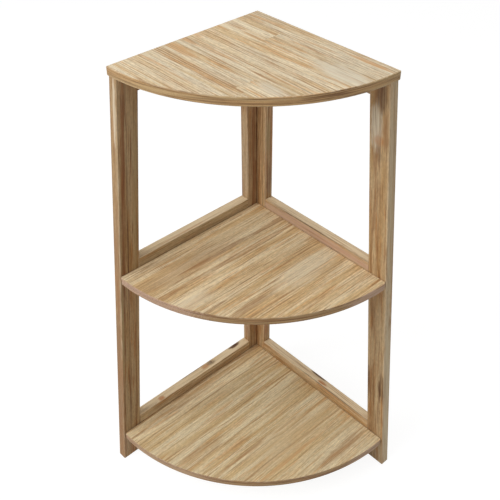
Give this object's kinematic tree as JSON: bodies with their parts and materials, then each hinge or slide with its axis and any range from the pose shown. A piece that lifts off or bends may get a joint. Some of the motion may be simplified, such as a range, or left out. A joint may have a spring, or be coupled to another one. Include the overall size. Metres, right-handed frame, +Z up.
{
  "type": "tiered plant stand",
  "caption": "Corner plant stand in pale wood: quarter-round shelves on two open side frames whose front stiles lean outwards, so the lower shelves are wider.",
  "frame": {"origin": "on the floor, at the centre of the stand's bounding box", "axes": "+Z up; +Y towards the back wall and -X towards the left wall that the square corner fits into; the curved shelf fronts face +X -Y"},
  "size_m": [0.329, 0.329, 0.7],
  "materials": {
    "paulownia": "plain unvarnished paulownia: pale cream with tan and light orange grain streaks, dry satin feel, browner along the cut edges",
    "beech_dowel": "plain fluted beech dowel, unfinished",
    "zinced_steel": "bright zinc-plated countersunk wood screw"
  },
  "bodies": {
    "root": {"bottom_shelf": "paulownia", "corner_screw_high": "zinced_steel", "corner_screw_low": "zinced_steel", "corner_screw_middle": "zinced_steel", "left_back_stile": "paulownia", "left_bottom_back_dowel_lower": "beech_dowel", "left_bottom_back_dowel_upper": "beech_dowel", "left_bottom_front_dowel_lower": "beech_dowel", "left_bottom_front_dowel_upper": "beech_dowel", "left_bottom_rail": "paulownia", "left_bottom_screw_back": "zinced_steel", "left_bottom_screw_front": "zinced_steel", "left_front_stile": "paulownia", "left_middle_back_dowel_lower": "beech_dowel", "left_middle_back_dowel_upper": "beech_dowel", "left_middle_front_dowel_lower": "beech_dowel", "left_middle_front_dowel_upper": "beech_dowel", "left_middle_rail": "paulownia", "left_middle_screw_back": "zinced_steel", "left_middle_screw_front": "zinced_steel", "left_top_back_dowel_lower": "beech_dowel", "left_top_back_dowel_upper": "beech_dowel", "left_top_front_dowel_lower": "beech_dowel", "left_top_front_dowel_upper": "beech_dowel", "left_top_rail": "paulownia", "left_top_screw_back": "zinced_steel", "left_top_screw_front": "zinced_steel", "middle_shelf": "paulownia", "right_back_stile": "paulownia", "right_bottom_back_dowel_lower": "beech_dowel", "right_bottom_back_dowel_upper": "beech_dowel", "right_bottom_front_dowel_lower": "beech_dowel", "right_bottom_front_dowel_upper": "beech_dowel", "right_bottom_rail": "paulownia", "right_bottom_screw_back": "zinced_steel", "right_bottom_screw_front": "zinced_steel", "right_front_stile": "paulownia", "right_middle_back_dowel_lower": "beech_dowel", "right_middle_back_dowel_upper": "beech_dowel", "right_middle_front_dowel_lower": "beech_dowel", "right_middle_front_dowel_upper": "beech_dowel", "right_middle_rail": "paulownia", "right_middle_screw_back": "zinced_steel", "right_middle_screw_front": "zinced_steel", "right_top_back_dowel_lower": "beech_dowel", "right_top_back_dowel_upper": "beech_dowel", "right_top_front_dowel_lower": "beech_dowel", "right_top_front_dowel_upper": "beech_dowel", "right_top_rail": "paulownia", "right_top_screw_back": "zinced_steel", "right_top_screw_front": "zinced_steel", "top_board": "paulownia"}
  },
  "joints": []
}
